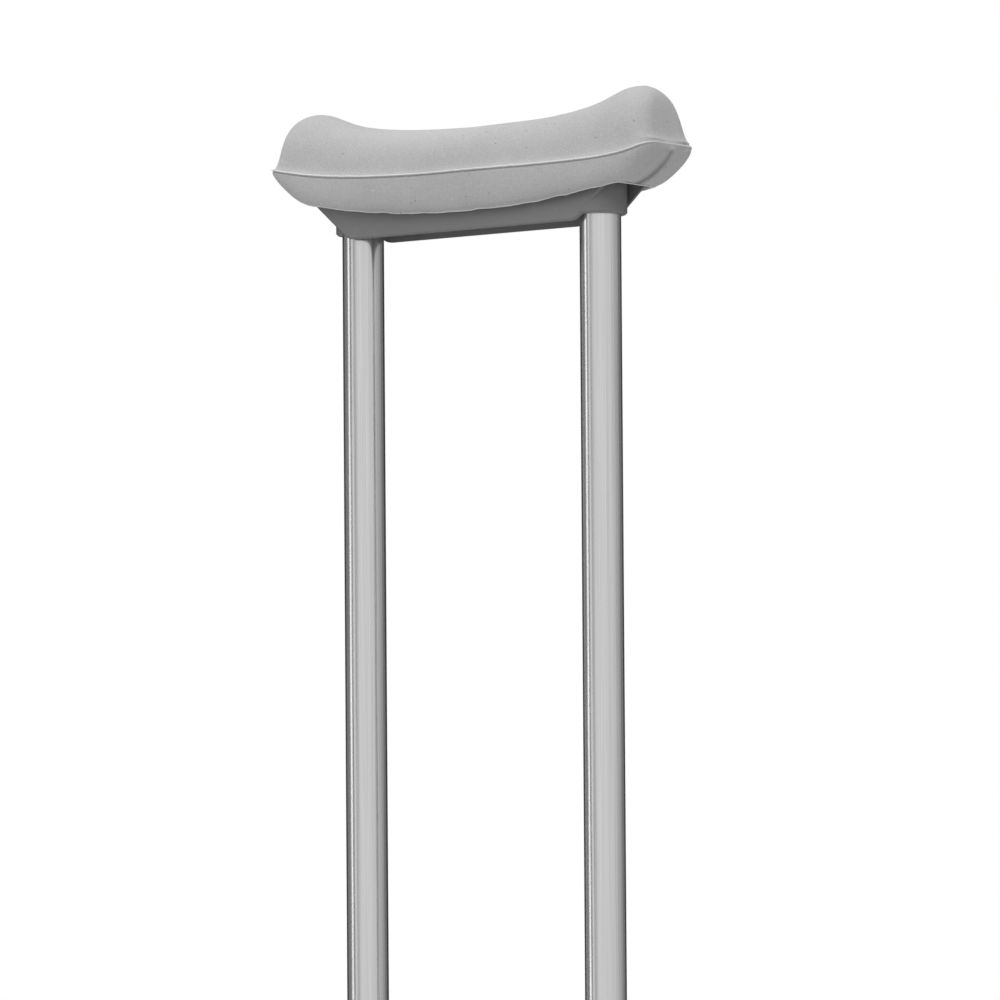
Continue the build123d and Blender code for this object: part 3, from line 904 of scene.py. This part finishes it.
@dataclass
class Frame:
    """The fixed frame under the pad: saddle, uprights, centre tube and what joins them."""

    finishes: dict[str, str] = field(
        default_factory=lambda: {
            "saddle": "saddle",
            "saddle_screws": "plated",
            "tube_plug_left": "plug",
            "tube_plug_right": "plug",
            "upright_left": "tube",
            "upright_right": "tube",
            "upright_cap_left": "plug",
            "upright_cap_right": "plug",
            "centre_tube": "tube",
            "centre_tube_cap": "plug",
            "spacers_upper": "plug",
            "spacers_lower": "plug",
            "frame_rivet_upper": "plated",
            "frame_rivet_lower": "plated",
            "mouth_collar": "plug",
        }
    )
    hole_rows: tuple[HoleRow, ...] = (
        HoleRow("grip_hole_rims_left", "frame", -78.0, 11.1, 3.55, 773.4, 25.4, 7, True),
        HoleRow("grip_hole_rims_right", "frame", 78.0, 11.1, 3.55, 773.4, 25.4, 7, True),
        HoleRow("height_hole_rims", "frame", 0.0, 12.7, 3.5, 263.8, 25.4, 7, False),
    )

    def build(self, nodes: dict[str, bpy.types.Object], palette: Palette) -> None:
        """Dresses the frame's own solids and turns the edges of its holes."""
        dress(nodes, self.finishes, palette)
        for row in self.hole_rows:
            row.build(palette)


@dataclass
class Leg:
    """The sliding leg: tube, snap clip, its buttons and the rubber tip."""

    finishes: dict[str, str] = field(
        default_factory=lambda: {
            "leg_tube": "tube",
            "snap_clip": "spring",
            "button_front": "plated",
            "button_back": "plated",
            "tip": "tip",
            "tip_washer": "plated",
        }
    )

    def build(self, nodes: dict[str, bpy.types.Object], palette: Palette) -> None:
        """Dresses the leg's own solids."""
        dress(nodes, self.finishes, palette)


@dataclass
class Handgrip:
    """The bolted handgrip with its foam sleeve, washers and wing nut. Lengths are in millimetres."""

    level: float = 875.0
    sleeve_half: float = 58.55
    sleeve_radius: float = 16.9
    bore_radius: float = 11.1
    end_round: float = 4.2
    ring_points: int = 72
    thread_start: float = 100.0
    thread_length: float = 12.6
    thread_pitch: float = 1.27
    bolt_radius: float = 3.12
    finishes: dict[str, str] = field(
        default_factory=lambda: {
            "grip_core": "saddle",
            "grip_bolt": "plated",
            "grip_washers": "plug",
            "wing_nut": "plated",
        }
    )

    def build(self, nodes: dict[str, bpy.types.Object], palette: Palette) -> None:
        """Dresses the grip's solids, and makes its sleeve and its bolt's thread."""
        dress(nodes, self.finishes, palette)
        self.build_sleeve(palette)
        self.build_thread(palette)

    def sleeve_profile(self) -> list[tuple[float, float]]:
        """Returns the sleeve's outline as (x, radius), from its left bore edge over the outside."""
        left = [(-self.sleeve_half, self.bore_radius)]
        for n in range(9):
            angle = math.radians(90 * n / 8)
            x = -self.sleeve_half + self.end_round * (1 - math.cos(angle))
            left.append((x, self.sleeve_radius - self.end_round * (1 - math.sin(angle))))
        body = []
        for n in range(1, 30):
            u = -1 + 2 * n / 30
            x = u * (self.sleeve_half - self.end_round)
            body.append((x, self.sleeve_radius - 0.55 * u**4))
        left = [(x, r - 0.55 * min(1.0, (r - self.bore_radius) / 3.0)) for x, r in left]
        return left + body + [(-x, r) for x, r in reversed(left)]

    def build_sleeve(self, palette: Palette) -> None:
        """Makes the foam sleeve in place of the plain one."""
        outline = self.sleeve_profile()
        count = self.ring_points
        points: list[Point] = []
        for x, radius in outline:
            for n in range(count):
                angle = 2 * math.pi * n / count
                place = Vector((x * 0.06, math.cos(angle) * 1.1, math.sin(angle) * 1.1))
                r = radius + (noise.noise(place) * 0.22 if radius > self.bore_radius + 0.1 else 0.0)
                points.append((x * MM, r * math.cos(angle) * MM, (self.level + r * math.sin(angle)) * MM))
        faces: list[tuple[int, ...]] = []
        rows = len(outline)
        for row in range(rows):
            low, high = row * count, (row + 1) % rows * count
            for n in range(count):
                after = (n + 1) % count
                faces.append((low + n, low + after, high + after, high + n))
        mesh = bpy.data.meshes.new("hand_sleeve")
        mesh.from_pydata(points, [], faces)
        turn_outwards(mesh)
        sleeve = add_object("hand_sleeve", mesh, palette.sleeve)
        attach(sleeve, "handgrip")
        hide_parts("grip_sleeve")
        log.info("hand_sleeve: %d faces", len(faces))

    def build_thread(self, palette: Palette) -> None:
        """Makes the thread on the bolt's free end."""
        recipe = Recipe("bolt_thread")
        radius = recipe.size("Bolt radius", self.bolt_radius * MM)
        length = recipe.size("Length", self.thread_length * MM)
        turns = recipe.size("Turns", self.thread_length / self.thread_pitch)
        ridge = recipe.size("Ridge", 0.3 * MM)
        inputs = {
            "Rotations": turns,
            "Start Radius": radius,
            "End Radius": radius,
            "Height": length,
            "Resolution": 32,
        }
        line = recipe.node("GeometryNodeCurveSpiral", {}, inputs)
        start = recipe.vector(self.thread_start * MM, 0.0, self.level * MM)
        turned = recipe.node(
            "GeometryNodeTransform",
            {},
            {"Geometry": line, "Translation": start, "Rotation": (0.0, math.pi / 2, 0.0)},
        )
        profile = recipe.node("GeometryNodeCurvePrimitiveCircle", {}, {"Resolution": 4, "Radius": ridge})
        inputs = {"Curve": turned, "Profile Curve": profile, "Fill Caps": True}
        swept = recipe.node("GeometryNodeCurveToMesh", {}, inputs)
        thread = recipe.run(swept, "bolt_thread", palette.plated, None)
        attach(thread, "handgrip")
        log.info("bolt_thread: %d faces", len(thread.data.polygons))


def dress(nodes: dict[str, bpy.types.Object], finishes: dict[str, str], palette: Palette) -> None:
    """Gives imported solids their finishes.

    Args:
        nodes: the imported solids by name.
        finishes: the palette's finish for each of them.
        palette: the crutch's finishes.
    """
    for name, finish in finishes.items():
        solid = nodes[name]
        material = getattr(palette, finish)
        for slot in solid.material_slots:
            slot.material = material
        log.info("%s: %s", name, material.name)


# The studio


@dataclass(frozen=True)
class TentPanel:
    """One upright strip of the light tent, between two angles from the camera's direction."""

    start: float
    end: float
    level: float

    def build(self, facing: float, radius: float, low: float, high: float) -> None:
        """Makes the strip as a curved sheet that only reflections see.

        Args:
            facing: the camera's azimuth in degrees.
            radius: the tent's radius.
            low: the level of its foot.
            high: the level of its head.
        """
        steps = max(2, round(abs(self.end - self.start) / 4))
        points: list[Point] = []
        for n in range(steps + 1):
            turn = math.radians(facing + self.start + (self.end - self.start) * n / steps)
            place = (radius * math.sin(turn), -radius * math.cos(turn))
            points += [(*place, low), (*place, high)]
        faces = [(2 * n, 2 * n + 1, 2 * n + 3, 2 * n + 2) for n in range(steps)]
        name = f"tent_{self.start:.0f}_{self.end:.0f}".replace("-", "m")
        mesh = bpy.data.meshes.new(name)
        mesh.from_pydata(points, [], faces)
        material = bpy.data.materials.new(name)
        material.use_nodes = True
        graph = Graph(material.node_tree)
        graph.tree.nodes.clear()
        glow = graph.node("ShaderNodeEmission", {}, {"Color": grey(1.0), "Strength": self.level})
        end = graph.tree.nodes.new("ShaderNodeOutputMaterial")
        graph.tree.links.new(glow.socket, end.inputs["Surface"])
        panel = add_object(name, mesh, material)
        panel.visible_camera = panel.visible_diffuse = panel.visible_shadow = False
        panel.visible_transmission = False


@dataclass(frozen=True)
class Softbox:
    """A square lamp that points at the middle of the view."""

    name: str
    azimuth: float
    elevation: float
    distance: float
    width: float
    watts: float

    def build(self, target: Vector) -> None:
        """Makes the lamp, aimed at the target."""
        data = bpy.data.lights.new(self.name, "AREA")
        data.shape, data.size, data.energy = "SQUARE", self.width, self.watts
        lamp = bpy.data.objects.new(self.name, data)
        turn, lift = math.radians(self.azimuth), math.radians(self.elevation)
        back = Vector((math.sin(turn) * math.cos(lift), -math.cos(turn) * math.cos(lift), math.sin(lift)))
        turned = back.to_track_quat("Z", "Y").to_matrix().to_4x4()
        turned.translation = target + back * self.distance
        lamp.matrix_world = turned
        lamp.visible_camera = lamp.visible_glossy = False
        bpy.context.scene.collection.objects.link(lamp)


@dataclass
class Studio:
    """A pale floor, a white background, a light tent, soft lamps and the photograph's camera."""

    azimuth: float = 36.0
    elevation: float = -5.84
    roll: float = 0.4
    distance: float = 16.0
    pixels_per_metre: float = 1880.0
    picture: float = 1000.0
    sensor: float = 36.0
    seen_point: Point = (0.0, 0.0, 1.4258)
    seen_pixel: tuple[float, float] = (480.7, 127.0)
    ambient: float = 0.38
    floor_radius: float = 40.0
    tent_radius: float = 1.9
    tent_levels: tuple[float, float] = (-1.4, 3.6)
    lamp_target: Point = (0.0, 0.0, 1.15)
    lamps: tuple[Softbox, ...] = (
        Softbox("key", 34.0, 46.0, 3.0, 1.8, 27.0),
        Softbox("overhead", -30.0, 80.0, 2.6, 1.8, 26.0),
        Softbox("fill", -60.0, 14.0, 3.4, 2.0, 9.0),
    )
    panels: tuple[TentPanel, ...] = (
        TentPanel(-176, -134, 0.02),
        TentPanel(-134, -97, 0.2),
        TentPanel(-97, -87, 1.6),
        TentPanel(-87, -74, 0.24),
        TentPanel(-74, -63, 0.9),
        TentPanel(-63, -52, 0.42),
        TentPanel(-52, -42, 0.62),
        TentPanel(-42, 24, 0.79),
        TentPanel(24, 57, 0.73),
        TentPanel(57, 74, 0.62),
        TentPanel(74, 92, 0.49),
        TentPanel(92, 110, 0.36),
        TentPanel(110, 134, 0.19),
        TentPanel(134, 176, 0.02),
    )

    def axes(self) -> tuple[Vector, Vector, Vector]:
        """Returns the camera's right, up and backward directions."""
        turn, lift, tilt = (math.radians(a) for a in (self.azimuth, self.elevation, self.roll))
        back = Vector((math.sin(turn) * math.cos(lift), -math.cos(turn) * math.cos(lift), math.sin(lift)))
        level = Vector((math.cos(turn), math.sin(turn), 0.0))
        upright = back.cross(level)
        right = level * math.cos(tilt) - upright * math.sin(tilt)
        up = upright * math.cos(tilt) + level * math.sin(tilt)
        return right, up, back

    def build_camera(self) -> None:
        """Makes the camera from the place of one point in the photograph."""
        right, up, back = self.axes()
        across = (self.picture / 2 - self.seen_pixel[0]) / self.pixels_per_metre
        down = (self.picture / 2 - self.seen_pixel[1]) / self.pixels_per_metre
        aim = Vector(self.seen_point) + right * across - up * down
        data = bpy.data.cameras.new("camera")
        data.sensor_width = self.sensor
        data.lens = self.sensor * self.distance * self.pixels_per_metre / self.picture
        data.clip_start, data.clip_end = 1.0, 200.0
        camera = bpy.data.objects.new("camera", data)
        turned = Matrix((right, up, back)).transposed().to_4x4()
        turned.translation = aim + back * self.distance
        camera.matrix_world = turned
        bpy.context.scene.collection.objects.link(camera)
        bpy.context.scene.camera = camera

    def build_world(self) -> None:
        """Makes a world that is white where it is seen and softer as a light."""
        world = bpy.data.worlds.new("studio")
        world.use_nodes = True
        bpy.context.scene.world = world
        graph = Graph(world.node_tree)
        graph.tree.nodes.clear()
        path = graph.tree.nodes.new("ShaderNodeLightPath")
        seen = Sock(graph, path.outputs["Is Camera Ray"])
        for other in ("Is Glossy Ray", "Is Transmission Ray"):
            link = Sock(graph, path.outputs[other])
            seen = graph.node("ShaderNodeMath", {"operation": "MAXIMUM"}, {0: seen, 1: link})
        strength = self.ambient + seen * (1.0 - self.ambient)
        sky = graph.node("ShaderNodeBackground", {}, {"Color": grey(1.0), "Strength": strength})
        end = graph.tree.nodes.new("ShaderNodeOutputWorld")
        graph.tree.links.new(sky.socket, end.inputs["Surface"])

    def build_floor(self) -> None:
        """Makes a pale floor that is seen from above only."""
        count = 96
        turns = [2 * math.pi * n / count for n in range(count)]
        points = [(self.floor_radius * math.cos(a), self.floor_radius * math.sin(a), 0.0) for a in turns]
        mesh = bpy.data.meshes.new("floor")
        mesh.from_pydata(points, [], [tuple(range(count))])
        shader = Shader("floor_paint")
        cloud = shader.noise(3.0, 3.0)
        shader.set(
            base_color=shader.mix(shader.ramp(cloud, 0.3, 0.7), grey(0.86), grey(0.9)),
            roughness=0.7,
            specular_ior_level=0.2,
        )
        clear = shader.node("ShaderNodeBsdfTransparent")
        back = shader.node("ShaderNodeNewGeometry", {}, {}, "Backfacing")
        both = shader.node(
            "ShaderNodeMixShader",
            {},
            {0: back, 1: Sock(shader, shader.surface.outputs[0]), 2: clear},
        )
        end = next(node for node in shader.tree.nodes if node.type == "OUTPUT_MATERIAL")
        shader.tree.links.new(both.socket, end.inputs["Surface"])
        add_object("floor", mesh, shader.material)

    def build(self) -> None:
        """Makes the camera, the world, the floor, the tent and the lamps."""
        self.build_camera()
        self.build_world()
        self.build_floor()
        for panel in self.panels:
            panel.build(self.azimuth, self.tent_radius, *self.tent_levels)
        for lamp in self.lamps:
            lamp.build(Vector(self.lamp_target))
        log.info("studio: %d lamps, %d tent panels", len(self.lamps), len(self.panels))


def main() -> None:
    """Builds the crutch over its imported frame."""
    logging.basicConfig(level=logging.INFO, format="%(name)s: %(message)s")
    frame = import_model()
    palette = Palette.build()
    Studio().build()
    UnderarmPad().build(palette)
    Frame().build(frame["nodes"], palette)
    Leg().build(frame["nodes"], palette)
    Handgrip().build(frame["nodes"], palette)
    bpy.context.scene.view_settings.view_transform = "Standard"


if __name__ == "__main__":
    main()
